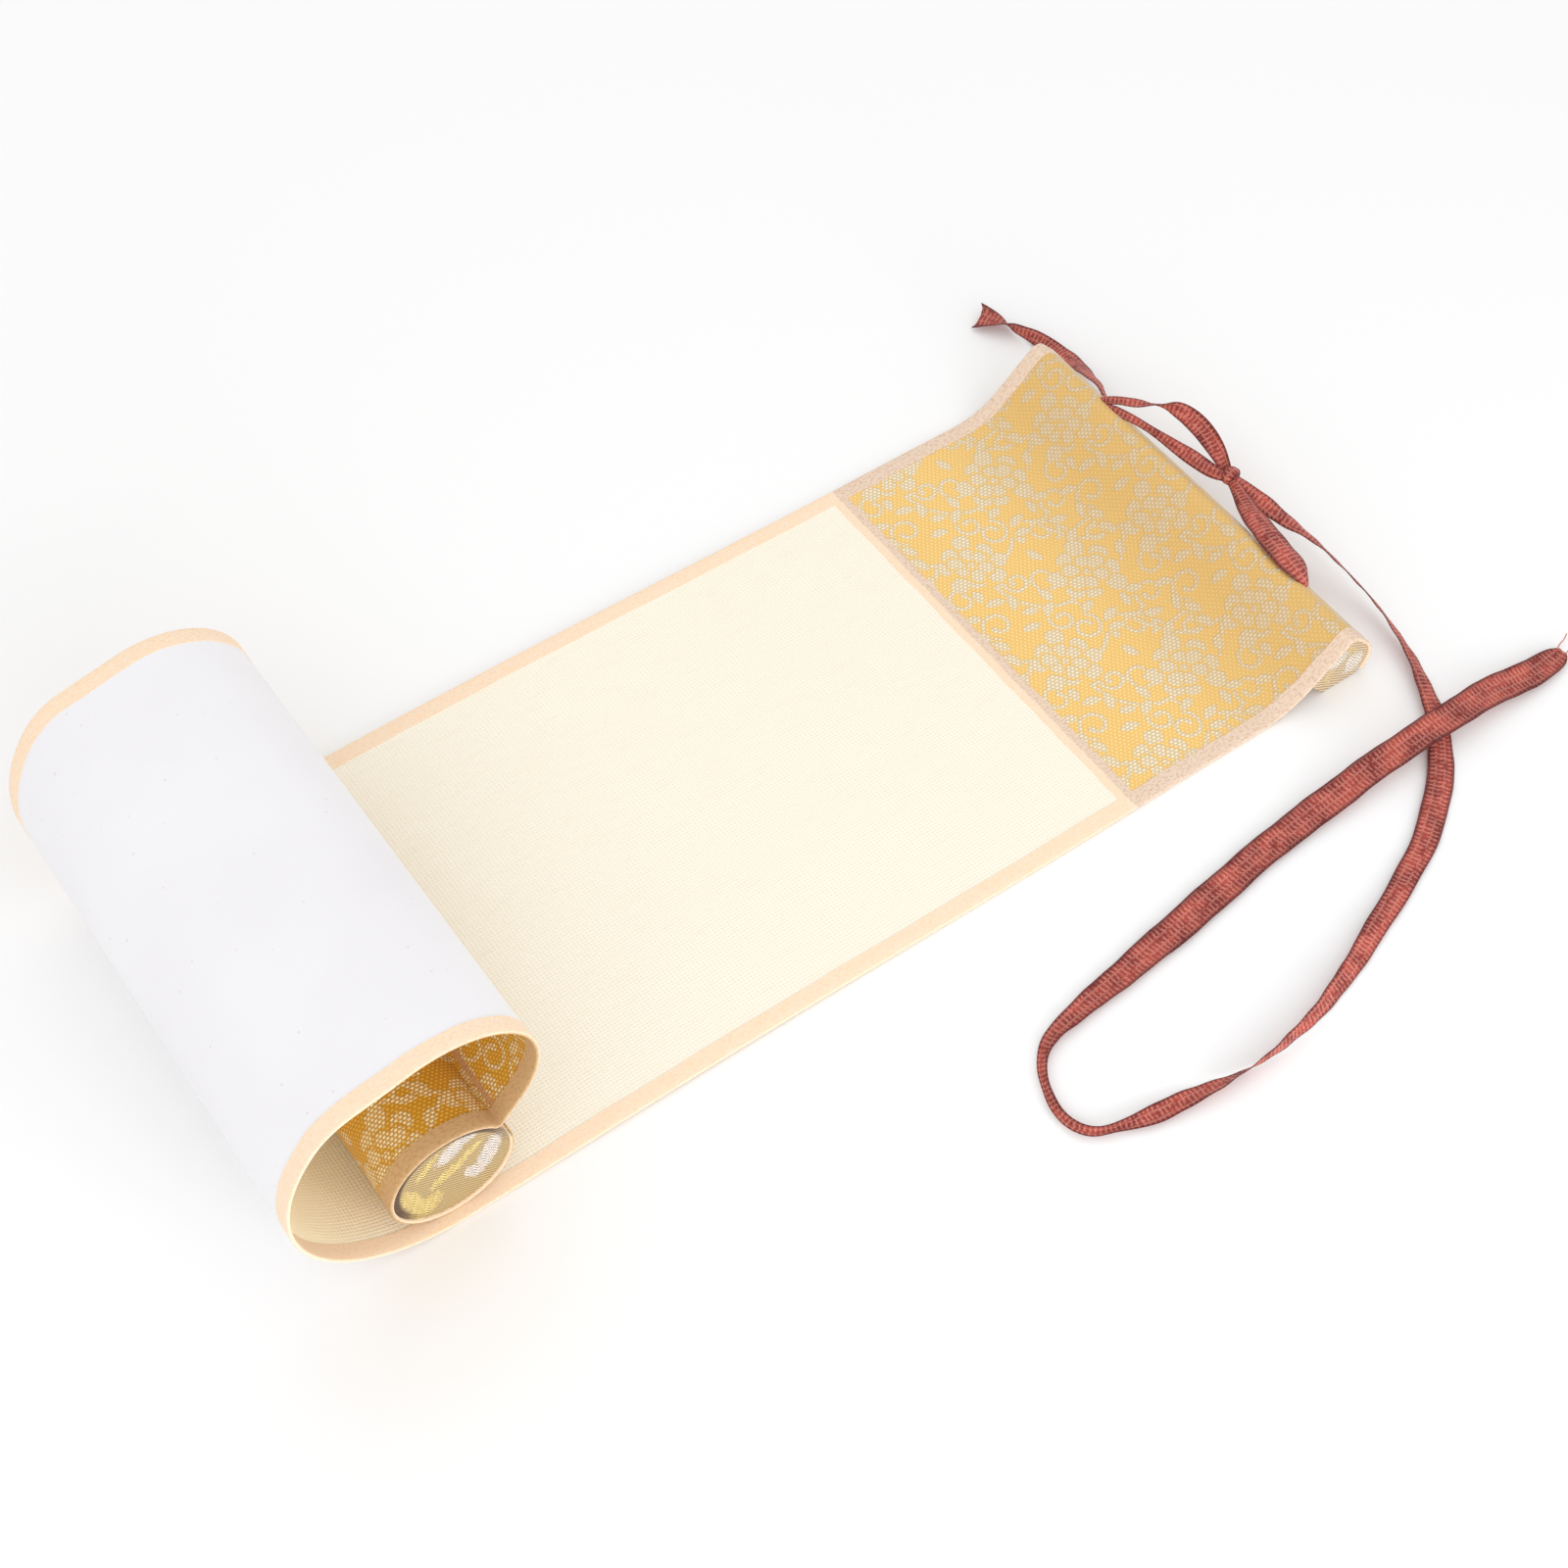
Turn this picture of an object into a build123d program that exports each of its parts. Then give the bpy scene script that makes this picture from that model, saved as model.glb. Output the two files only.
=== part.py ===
from build123d import *
from math import cos, hypot, radians, sin, tan
import os

# A small blank hanging scroll, part unrolled on a table. Millimetres.
# Drawing frame: X runs along the scroll from the top joint of the picture field towards
# the stave, Y from the near edge to the far edge, Z up from the table. Everything is moved
# at the end so that the origin is the middle of the scroll's footprint, cords left out.

# sheet
sheet_width = 110.0         # outer width over the edge tapes
tape_gauge = 0.12           # silk tape folded over both edges
paper_gauge = 0.28          # white backing paper
cloth_gauge = 0.25          # picture silk and brocade panels
tape_width = 3.9            # each leg of the edge tape, and each joint strip

# lengths along the sheet
panel_flat = 38.1           # top joint to where the sheet lifts towards the stave
flat_run = 164.3            # top joint to where the rolled loop begins
bottom_panel = 62.0         # bottom joint to the crease at the roller

# rolled loop: radius and turn of each bend, from the table up to the top, then down the wall
rising_bends = [(32.6, 130.0), (15.0, 38.0)]
falling_turn = 142.0
wall_run = 6.3              # straight piece of the inner wall, just above the crease
crease_gap = 0.6            # brocade to brocade, across the inside of the crease
crease_angle = 38.0         # where the crease sits on the roller, from level
wrap_turn = 330.0           # how far the sheet goes round the roller

# roller
roller_diameter = 25.0
roller_seat = 0.2           # roller's centre line to where the loop lifts off the table
roller_drift = 2.4          # the roller and its turn have crept this far towards the far edge
roller_inset = 0.6          # roller end to the edge of the turn

# stave: half round, lying tilted, worn flat where it rests
stave_width = 14.2
stave_depth = 13.7
stave_tilt = 43.0
stave_rise = 7.7            # distance up the slope from the table line to the stave
stave_corner = 2.0          # rounded corner that the sheet goes over
stave_toe = 1.2             # rounded corner where the sheet first meets the stave
stave_inset = 0.5           # stave end to the sheet's edge
wrap_below = 35.0           # how far under level the sheet reaches round the stave

cover_gauge = 0.35          # brocade patches on the ends of the stave and roller

# ribbon
ribbon_width = 7.0
strand_width = 4.0          # the ribbon gathered lengthwise, near its knot
knot_radius = 5.5
left_anchor = 87.5          # along Y, where the two left strands leave the stave
right_anchor = 20.0
anchor_pitch = 5.0          # between the two left strands
anchor_depth = 4.0          # below the stave's top corner, down its outer side
tail_start = 91.0           # along Y, where the short tail comes out beside the stave

# worked out
sheet_gauge = 2 * tape_gauge + paper_gauge + cloth_gauge
paper_face = tape_gauge
cloth_face = tape_gauge + paper_gauge
strip_face = cloth_face + cloth_gauge
belly_radius = stave_width / 2
belly_drop = stave_depth - belly_radius
roller_radius = roller_diameter / 2
crease_radius = sheet_gauge + crease_gap / 2
roller_centre = Vector(roller_seat - flat_run, 0, 2 * sheet_gauge + roller_radius)

slope = Vector(cos(radians(stave_tilt)), 0, sin(radians(stave_tilt)))
into_stave = Vector(sin(radians(stave_tilt)), 0, -cos(radians(stave_tilt)))
lift_radius = stave_rise / tan(radians(stave_tilt / 2))
table_line = Vector(panel_flat + stave_rise, 0, 0)
toe = table_line + slope * stave_rise
belly_centre = toe + slope * belly_radius + into_stave * belly_drop


# The sheet's path is a chain of straight runs and tangent arcs, followed from the end glued
# under the stave to the end glued round the roller. It is the outer face of the tapes, and
# each layer lies a fixed distance to its right. A turn to the left is positive.
def unit(angle):
    return Vector(cos(radians(angle)), 0, sin(radians(angle)))


class Stretch:
    def __init__(self, point, heading, length, turn):
        self.point, self.heading, self.length, self.turn = point, heading, length, turn

    def at(self, share, depth):
        if self.turn == 0:
            return self.point + unit(self.heading) * self.length * share + self.right(0) * depth
        side = 1 if self.turn > 0 else -1
        radius = self.length / radians(abs(self.turn))
        centre = self.point - self.right(0) * side * radius
        return centre + self.right(share) * (side * radius + depth)

    def right(self, share):
        return unit(self.heading + self.turn * share - 90)

    def part_of(self, first, last):
        start = self.at(first, 0)
        heading = self.heading + self.turn * first
        return Stretch(start, heading, self.length * (last - first), self.turn * (last - first))

    def edge(self, depth):
        if self.turn == 0:
            return Line(self.at(0, depth), self.at(1, depth))
        return ThreePointArc(self.at(0, depth), self.at(0.5, depth), self.at(1, depth))


def chain(start, heading, moves):
    stretches = []
    for radius, amount in moves:
        length = amount if radius == 0 else radius * radians(abs(amount))
        stretch = Stretch(start, heading, length, 0 if radius == 0 else amount)
        stretches.append(stretch)
        start = stretch.at(1, 0)
        heading += stretch.turn
    return stretches


def stave_stretches():
    first_heading = 90.0 - wrap_below
    start = belly_centre + unit(-wrap_below) * belly_radius
    side_heading = 90.0 + stave_tilt
    return chain(start, first_heading, [
        (belly_radius, side_heading - first_heading),
        (0, belly_drop - stave_corner),
        (stave_corner, 90.0),
        (0, stave_width - stave_corner),
        (lift_radius, -stave_tilt),
    ])


# The straight top run and the radius of the falling bend are worked out, so that the sheet
# reaches the crease with the roller lying on the sheet.
def loop_stretches():
    rising = chain(Vector(-flat_run, 0, 0), 180.0, [(radius, -turn) for radius, turn in rising_bends])
    top_start = rising[-1].at(1, 0)
    top_heading = 180.0 - sum(turn for radius, turn in rising_bends)
    wall_heading = top_heading - falling_turn
    crease_centre = roller_centre + unit(crease_angle) * (roller_radius + crease_radius)
    wall_top = crease_centre + unit(wall_heading + 90) * crease_radius - unit(wall_heading) * wall_run
    gap = wall_top - top_start
    along_top = unit(top_heading)
    bend_chord = unit(wall_heading + 90) - unit(top_heading + 90)
    spread = cross(along_top, bend_chord)
    return rising + chain(top_start, top_heading, [
        (0, cross(gap, bend_chord) / spread),
        (cross(along_top, gap) / spread, -falling_turn),
        (0, wall_run),
        (crease_radius, crease_angle - 270.0 - wall_heading),
        (roller_radius, wrap_turn),
    ])


def cross(first, second):
    return first.X * second.Z - first.Z * second.X


stave_path = stave_stretches()
loop_path = loop_stretches()
floor_start = stave_path[-1].at(1, 0)
floor_path = [Stretch(floor_start, 180.0, floor_start.X + flat_run, 0)]
path = stave_path + floor_path + loop_path
path_length = sum(stretch.length for stretch in path)
crease_start = sum(stretch.length for stretch in path[:-2])
top_joint = sum(stretch.length for stretch in stave_path) + floor_start.X - tape_width / 2
bottom_joint = crease_start - bottom_panel


def stretches_between(first, last):
    picked = []
    begin = 0.0
    for stretch in path:
        low, high = max(first, begin), min(last, begin + stretch.length)
        if high - low > 1e-6:
            share = [(low - begin) / stretch.length, (high - begin) / stretch.length]
            picked.append(stretch.part_of(*share))
        begin += stretch.length
    return picked


def band(first, last, depth, gauge, near, far):
    picked = stretches_between(first, last)
    outer = [stretch.edge(depth) for stretch in picked]
    inner = [stretch.edge(depth + gauge) for stretch in picked]
    ends = [
        Line(picked[0].at(0, depth), picked[0].at(0, depth + gauge)),
        Line(picked[-1].at(1, depth), picked[-1].at(1, depth + gauge)),
    ]
    section = make_face(outer + inner + ends).moved(Location((0, near, 0)))
    return extrude(section, amount=far - near, dir=(0, 1, 0)).solid()


# A layer that goes all the way keeps one solid: its last turn, round the roller, is moved
# towards the far edge by the drift, and the step is at the crease.
def layer(first, last, depth, gauge, near, far):
    if last <= crease_start:
        return band(first, last, depth, gauge, near, far)
    flat = band(first, crease_start, depth, gauge, near, far)
    turn = band(crease_start, last, depth, gauge, near + roller_drift, far + roller_drift)
    return flat + turn


def backing_paper():
    far = sheet_width - tape_gauge
    return layer(0, path_length, paper_face, paper_gauge, tape_gauge, far).solid()


def cloth_panel(first, last):
    far = sheet_width - tape_gauge
    return layer(first, last, cloth_face, cloth_gauge, tape_gauge, far).solid()


def edge_tape(near, web):
    outer_leg = layer(0, path_length, 0, tape_gauge, near, near + tape_width)
    inner_leg = layer(0, path_length, strip_face, tape_gauge, near, near + tape_width)
    fold = layer(0, path_length, paper_face, paper_gauge + cloth_gauge, web, web + tape_gauge)
    return (outer_leg + fold + inner_leg).solid()


def joint_strip(middle):
    first, far = middle - tape_width / 2, sheet_width - tape_width
    return layer(first, first + tape_width, strip_face, tape_gauge, tape_width, far).solid()


def stave_section(near, length):
    heel = toe + slope * stave_width
    side = into_stave * belly_drop
    outline = make_face([
        Line(toe, heel),
        Line(heel, heel + side),
        ThreePointArc(heel + side, belly_centre + into_stave * belly_radius, toe + side),
        Line(toe + side, toe),
    ])
    block = extrude(outline.moved(Location((0, near, 0))), amount=length, dir=(0, 1, 0))
    block = fillet(corner_edge(block, toe), stave_toe)
    block = fillet(corner_edge(block, heel), stave_corner)
    reach = stave_width + stave_depth
    below = Box(2 * reach, 3 * sheet_width, reach, align=(Align.CENTER, Align.CENTER, Align.MAX))
    return (block - below.moved(Location((belly_centre.X, 0, 0)))).solid()


def corner_edge(block, corner):
    along = block.edges().filter_by(Axis.Y)
    return along.sort_by(lambda edge: hypot(edge.center().X - corner.X, edge.center().Z - corner.Z))[0]


def stave_pieces():
    end = stave_inset + cover_gauge
    return {
        "stave_wood": stave_section(end, sheet_width - 2 * end),
        "stave_near_cover": stave_section(stave_inset, cover_gauge),
        "stave_far_cover": stave_section(sheet_width - end, cover_gauge),
    }


def disc(near, length):
    rim = Circle(roller_radius)
    plane = Plane(origin=(roller_centre.X, near, roller_centre.Z), x_dir=(1, 0, 0), z_dir=(0, 1, 0))
    return extrude(plane * rim, amount=length).solid()


def roller_pieces():
    near = roller_drift + roller_inset
    end = near + cover_gauge
    far = sheet_width + roller_drift - roller_inset - cover_gauge
    return {
        "roller_wood": disc(end, far - end),
        "roller_near_cover": disc(near, cover_gauge),
        "roller_far_cover": disc(far, cover_gauge),
    }


# Ribbon. A strand leaves the stave square to its outer side, just below the top corner.
side_face = toe + slope * (stave_width + strip_face) + into_stave * anchor_depth
belly_face = belly_centre + Vector(belly_radius + strip_face, 0, 0)


def anchor(along, reach):
    return side_face + Vector(0, along, 0) + slope * reach


# The bow hangs from the stave's outer side, so its points are measured from there.
def beside_stave(x, along, z):
    return side_face + Vector(x, along, z)


knot_centre = beside_stave(9.9, 54.0, 0.0)


outer_strand_points = [
    anchor(left_anchor + anchor_pitch / 2, 0),
    anchor(left_anchor + anchor_pitch / 2, 5.0),
    beside_stave(8.9, 83.0, 6.0),
    beside_stave(13.4, 73.5, 5.5),
    beside_stave(14.9, 64.0, 3.5),
    beside_stave(11.9, 57.5, 1.5),
]
inner_strand_points = [
    anchor(left_anchor - anchor_pitch / 2, 0),
    anchor(left_anchor - anchor_pitch / 2, 4.5),
    beside_stave(4.9, 77.5, 2.0),
    beside_stave(6.4, 68.0, 0.0),
    beside_stave(7.9, 58.5, -1.0),
]
right_strand_points = [
    anchor(right_anchor, 0),
    anchor(right_anchor, 4.5),
    beside_stave(4.9, 27.5, 2.0),
    beside_stave(5.4, 37.0, 0.5),
    beside_stave(7.4, 49.0, -0.5),
]
rest = ribbon_width / 2
tie_tail_points = [
    beside_stave(12.9, 51.5, 0.0),
    beside_stave(16.9, 42.0, -1.0),
    beside_stave(17.9, 28.0, -4.0),
    Vector(84.5, 12.0, 5.0),
    Vector(81.0, -4.0, rest),
    Vector(71.5, -21.0, rest),
    Vector(57.0, -35.5, rest),
    Vector(37.0, -46.5, rest),
    Vector(11.0, -57.0, rest),
    Vector(-17.0, -62.5, rest),
    Vector(-42.0, -59.5, rest),
    Vector(-60.5, -56.0, rest),
    Vector(-59.0, -38.0, rest),
    Vector(-45.0, -31.0, rest),
    Vector(-24.0, -30.0, rest),
    Vector(5.0, -25.0, rest),
    Vector(31.0, -23.5, rest),
    Vector(46.0, -22.0, 5.0),
    Vector(59.0, -22.5, 17.5),
    Vector(79.0, -22.0, 17.5),
    Vector(92.0, -22.5, 6.5),
    Vector(104.5, -22.0, rest),
]
short_tail_points = [
    belly_face + Vector(0, tail_start, 0),
    belly_face + Vector(7.5, tail_start, 0),
    Vector(81.0, sheet_width - 12.5, rest),
    Vector(80.0, sheet_width - 2.0, rest),
    Vector(77.0, sheet_width + 9.0, rest),
    Vector(72.0, sheet_width + 18.0, rest),
    Vector(65.5, sheet_width + 25.0, rest),
]


# Each corner's arc is as large as its two runs allow.
def corner_radii(points):
    radii = []
    for before, corner, after in zip(points, points[1:], points[2:]):
        arriving, leaving = corner - before, after - corner
        half_turn = radians(arriving.get_angle(leaving) / 2)
        radii.append(0.45 * min(arriving.length, leaving.length) / tan(half_turn))
    return radii


def tube(name, points, diameter):
    radii = corner_radii(points)
    line = FilletPolyline(*points, radius=radii)
    start = Plane(origin=points[0], z_dir=points[1] - points[0])
    solid = sweep(start * Circle(diameter / 2), path=line).solid()
    expected = Circle(diameter / 2).area * line.length
    print(f"{name}: length {line.length:.1f}, radii", " ".join(f"{radius:.0f}" for radius in radii),
          f"volume over section x length {solid.volume / expected:.4f}")
    return solid


def ribbon_pieces():
    strands = {
        "ribbon_outer_strand": tube("ribbon_outer_strand", outer_strand_points, strand_width),
        "ribbon_inner_strand": tube("ribbon_inner_strand", inner_strand_points, strand_width),
        "ribbon_right_strand": tube("ribbon_right_strand", right_strand_points, strand_width),
        "ribbon_tie_tail": tube("ribbon_tie_tail", tie_tail_points, ribbon_width),
        "ribbon_short_tail": tube("ribbon_short_tail", short_tail_points, ribbon_width),
    }
    knot = Sphere(knot_radius).moved(Location(knot_centre))
    for strand in strands.values():
        knot = knot - strand
    strands["ribbon_knot"] = knot.solid()
    return strands


def scroll_pieces():
    pieces = {
        "backing_paper": backing_paper(),
        "top_brocade_panel": cloth_panel(0, top_joint),
        "picture_field": cloth_panel(top_joint, bottom_joint),
        "bottom_brocade_panel": cloth_panel(bottom_joint, path_length),
        "near_edge_tape": edge_tape(0, 0),
        "far_edge_tape": edge_tape(sheet_width - tape_width, sheet_width - tape_gauge),
        "top_joint_strip": joint_strip(top_joint),
        "bottom_joint_strip": joint_strip(bottom_joint),
    }
    pieces.update(stave_pieces())
    pieces.update(roller_pieces())
    return pieces


def footprint_middle(pieces):
    box = Compound(list(pieces.values())).bounding_box()
    return Location((-box.center().X, -box.center().Y, 0))


os.makedirs("parts", exist_ok=True)
scroll = scroll_pieces()
to_origin = footprint_middle(scroll)
print("moved by", to_origin.position, "roller centre", roller_centre, "sheet length", path_length)
for name, solid in {**scroll, **ribbon_pieces()}.items():
    export_step(solid.moved(to_origin), f"parts/{name}.step")
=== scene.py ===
import math
import bpy
import numpy as np
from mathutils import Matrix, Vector


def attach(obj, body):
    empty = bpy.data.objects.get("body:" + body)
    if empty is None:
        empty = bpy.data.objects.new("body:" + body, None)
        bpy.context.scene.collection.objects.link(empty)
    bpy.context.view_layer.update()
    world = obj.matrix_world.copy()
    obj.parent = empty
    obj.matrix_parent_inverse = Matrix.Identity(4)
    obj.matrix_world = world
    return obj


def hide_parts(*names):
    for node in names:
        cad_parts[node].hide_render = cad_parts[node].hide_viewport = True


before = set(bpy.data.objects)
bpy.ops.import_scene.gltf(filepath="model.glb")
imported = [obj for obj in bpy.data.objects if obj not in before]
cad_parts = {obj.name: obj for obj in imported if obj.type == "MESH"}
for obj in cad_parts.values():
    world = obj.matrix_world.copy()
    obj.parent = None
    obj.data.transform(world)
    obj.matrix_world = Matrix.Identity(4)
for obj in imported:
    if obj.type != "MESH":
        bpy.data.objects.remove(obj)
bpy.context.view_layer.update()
print("packed scroll loaded:", len(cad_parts), "parts")

bpy.ops.object.select_all(action="DESELECT")
mm = 0.001                        # lengths in the dictionaries below are in millimetres


# camera
cameraPlan = {
    "place": (-0.17728, -0.25540, 0.43000),      # metres
    "turn": (35.708, -0.939, -35.551),           # degrees
    "lens": 56.84,
}


def placeCamera(plan):
    turn = [math.radians(angle) for angle in plan["turn"]]
    bpy.ops.object.camera_add(location=plan["place"], rotation=turn)
    camera = bpy.context.object
    camera.data.lens = plan["lens"]
    camera.data.clip_start = 0.01
    bpy.context.scene.camera = camera


placeCamera(cameraPlan)


# making meshes
def newPiece(name, points, faces, uv=None):
    mesh = bpy.data.meshes.new(name)
    mesh.from_pydata(points.tolist(), [], faces.tolist())
    piece = bpy.data.objects.new(name, mesh)
    bpy.context.scene.collection.objects.link(piece)
    if uv is not None:
        corners = np.zeros(len(mesh.loops), np.int32)
        mesh.loops.foreach_get("vertex_index", corners)
        layer = mesh.uv_layers.new(name="Cloth")
        layer.data.foreach_set("uv", uv[corners].astype(np.float32).ravel())
    mesh.update()
    return piece


def pickOnly(piece):
    bpy.ops.object.select_all(action="DESELECT")
    piece.select_set(True)
    bpy.context.view_layer.objects.active = piece


def applyModifier(piece, kind, **settings):
    pickOnly(piece)
    modifier = piece.modifiers.new(kind.title(), kind)
    for name, value in settings.items():
        setattr(modifier, name, value)
    bpy.ops.object.modifier_apply(modifier=modifier.name)


def quadFaces(rows, columns, flip=False):
    index = np.arange(rows * columns).reshape(rows, columns)
    corners = [index[:-1, :-1], index[:-1, 1:], index[1:, 1:], index[1:, :-1]]
    if flip:
        corners.reverse()
    return np.stack(corners, axis=-1).reshape(-1, 4)


def smoothShade(piece, angle=40):
    pickOnly(piece)
    bpy.ops.object.shade_smooth_by_angle(angle=math.radians(angle))


def dress(piece, material, slot, *stoodFor):
    piece.data.materials.clear()
    piece.data.materials.append(material)
    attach(piece, "root")
    if stoodFor:
        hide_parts(*stoodFor)
    return piece


# making materials
def tone(red, green, blue):                    # screen colour, 0 to 255, to a shader colour
    def linear(value):
        value /= 255
        return value / 12.92 if value < 0.04045 else ((value + 0.055) / 1.055) ** 2.4
    return (linear(red), linear(green), linear(blue), 1.0)


def addNode(tree, kind, inputs=(), **settings):
    node = tree.nodes.new(kind)
    for name, value in settings.items():
        setattr(node, name, value)
    for key, value in dict(inputs).items():
        if isinstance(value, bpy.types.NodeSocket):
            tree.links.new(value, node.inputs[key])
        else:
            node.inputs[key].default_value = value
    return node


def calc(tree, operation, first, second=0.0, third=0.0):
    inputs = {0: first, 1: second, 2: third}
    return addNode(tree, "ShaderNodeMath", inputs, operation=operation).outputs[0]


def times(tree, first, second):
    return calc(tree, "MULTIPLY", first, second)


def restOf(tree, share):                       # 1 where the share is 0, and 0 where it is 1
    return calc(tree, "SUBTRACT", 1.0, share)


def fade(tree, value, low, high):              # 0 below low, 1 above high
    inputs = {"Value": value, "From Min": low, "From Max": high}
    node = addNode(tree, "ShaderNodeMapRange", inputs, interpolation_type="SMOOTHSTEP")
    return node.outputs["Result"]


def mixTone(tree, factor, first, second):
    node = addNode(tree, "ShaderNodeMix", data_type="RGBA")
    for socket, value in ((0, factor), (6, first), (7, second)):
        if isinstance(value, bpy.types.NodeSocket):
            tree.links.new(value, node.inputs[socket])
        else:
            node.inputs[socket].default_value = value
    return node.outputs[2]


def noise(tree, vector, scale, detail=2.0, stretch=None):
    if stretch:
        inputs = {"Vector": vector, "Scale": stretch}
        vector = addNode(tree, "ShaderNodeMapping", inputs).outputs[0]
    inputs = {"Vector": vector, "Scale": scale, "Detail": detail}
    return addNode(tree, "ShaderNodeTexNoise", inputs).outputs[0]


def wave(tree, value, pitch, shift=0.0):       # 0 to 1 to 0 over each pitch
    turns = calc(tree, "MULTIPLY_ADD", value, 2 * math.pi / pitch, shift)
    return calc(tree, "MULTIPLY_ADD", calc(tree, "SINE", turns), 0.5, 0.5)


def clothCoordinates(tree):                    # millimetres along and across the cut cloth
    uv = addNode(tree, "ShaderNodeUVMap", uv_map="Cloth").outputs[0]
    apart = addNode(tree, "ShaderNodeSeparateXYZ", {0: uv})
    return uv, apart.outputs[0], apart.outputs[1]


def newMaterial(name, roughness, specular=0.3, sheen=0.0):
    material = bpy.data.materials.new(name)
    material.use_nodes = True
    shader = material.node_tree.nodes["Principled BSDF"]
    shader.inputs["Roughness"].default_value = roughness
    shader.inputs["Specular IOR Level"].default_value = specular
    shader.inputs["Sheen Weight"].default_value = sheen
    return material, material.node_tree, shader


def finishShader(tree, shader, colour, height=None, depth=0.1, roughness=None, strength=1.0):
    tree.links.new(colour, shader.inputs["Base Color"])
    if roughness is not None:
        tree.links.new(roughness, shader.inputs["Roughness"])
    if height is not None:
        inputs = {"Height": height, "Distance": depth * mm, "Strength": strength}
        bump = addNode(tree, "ShaderNodeBump", inputs)
        tree.links.new(bump.outputs[0], shader.inputs["Normal"])


# ribbon
ribbonFinish = {
    "thread": tone(174, 64, 55), "under": tone(222, 108, 92),
    "light": tone(240, 166, 148), "lightShare": 0.42,         # where a thread catches the light
    "edge": tone(78, 22, 26), "edgeShare": 0.75,              # darker towards the selvedges
    "weftPitch": 1.08, "warpPitch": 1.9, "weaveDepth": 0.3,
    "gauge": 0.22, "ripple": 0.12, "flutter": 0.1,            # thickness, and how its edges wander
    "lowest": 0.25,                                           # middle of the strip, off the table
    "threadRadius": 0.13,
}


def ribbonMaterial(finish):
    material, tree, shader = newMaterial("redRibbonWeave", 0.5, 0.25, 0.04)
    uv, along, across = clothCoordinates(tree)
    half = calc(tree, "FLOOR", calc(tree, "DIVIDE", across, finish["warpPitch"] / 2))
    uneven = times(tree, noise(tree, uv, 0.45, 1.0), 5.0)
    phase = calc(tree, "MULTIPLY_ADD", half, math.pi, uneven)
    weft = wave(tree, along, finish["weftPitch"], phase)
    warp = wave(tree, across, finish["warpPitch"] / 2)
    crossings = times(tree, weft, warp)
    rib = wave(tree, along, finish["weftPitch"], uneven)
    glints = fade(tree, noise(tree, uv, 0.5, 1.0, (1.0, 1.6, 1.0)), 0.3, 0.5)
    dots = times(tree, fade(tree, crossings, 0.25, 0.6), glints)
    dots = calc(tree, "MAXIMUM", dots, times(tree, fade(tree, rib, 0.6, 0.9), glints))
    ribs = fade(tree, rib, 0.0, 0.4)
    clouds = fade(tree, noise(tree, uv, 0.16, 3.0, (1.0, 1.5, 1.0)), 0.32, 0.66)
    body = mixTone(tree, clouds, finish["edge"], finish["under"])
    body = mixTone(tree, 0.5, body, finish["thread"])
    body = mixTone(tree, calc(tree, "MULTIPLY_ADD", ribs, -0.4, 0.4), body, finish["edge"])
    body = mixTone(tree, times(tree, dots, finish["lightShare"]), body, finish["light"])
    rim = addNode(tree, "ShaderNodeAttribute", attribute_name="rim").outputs["Fac"]
    dark = times(tree, fade(tree, rim, 0.6, 0.98), finish["edgeShare"])
    body = mixTone(tree, dark, body, finish["edge"])
    height = calc(tree, "ADD", crossings, times(tree, rim, 0.3))
    finishShader(tree, shader, body, height, finish["weaveDepth"])
    return material


redRibbon = ribbonMaterial(ribbonFinish)

# Each row is a point of the route and there the ribbon's width, lean and cup. The lean is
# the ribbon's turn about its own length, in degrees, and the cup is how far its middle stands up.
outerStrand = {
    "length": 41.2, "width": 4.0, "leaves": (128.97, 33.8, 12.45),
    "rows": [
        (126.6, 32.4, 13.4, 1.8, -30, 0.3), (127.9, 28.8, 16.0, 2.0, -30, 0.3),
        (130.9, 23.7, 17.2, 2.4, -20, 0.3), (134.6, 20.2, 17.7, 2.0, 50, 0.2),
        (138.0, 16.4, 17.2, 4.0, 140, 0.3), (139.4, 10.9, 16.0, 5.0, 150, 0.5),
        (138.9, 5.1, 14.5, 4.6, 150, 0.6), (137.9, 0.0, 13.0, 3.0, 150, 0.7),
        (137.2, -2.8, 12.2, 2.0, 150, 0.7),
    ],
}
innerStrand = {
    "length": 33.5, "width": 4.0, "leaves": (128.97, 28.8, 12.45),
    "rows": [
        (126.2, 30.4, 13.8, 2.6, -15, 0.3),
        (127.4, 25.4, 15.0, 2.4, -20, 0.3), (129.9, 20.2, 14.0, 1.8, -30, 0.2),
        (131.9, 14.9, 13.2, 2.2, -35, 0.2), (133.0, 9.2, 12.7, 3.4, -30, 0.4),
        (134.2, 3.8, 12.4, 4.0, -25, 0.6), (135.6, -0.6, 12.2, 3.2, -20, 0.7),
        (136.6, -2.2, 12.1, 2.4, -20, 0.7),
    ],
}
rightStrand = {
    "length": 35.0, "width": 4.0, "leaves": (128.97, -36.2, 12.45),
    "rows": [
        (129.2, -37.4, 12.6, 1.6, -20, 0.6), (128.9, -36.8, 14.5, 4.6, -14, 1.0),
        (128.8, -33.0, 15.9, 6.6, -6, 1.0), (129.4, -25.4, 16.0, 6.6, -4, 1.0),
        (131.6, -17.0, 14.8, 5.6, 2, 1.0), (134.2, -10.5, 13.2, 4.0, 10, 0.9),
        (136.8, -3.7, 12.2, 2.2, 20, 0.7),
    ],
}
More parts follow.
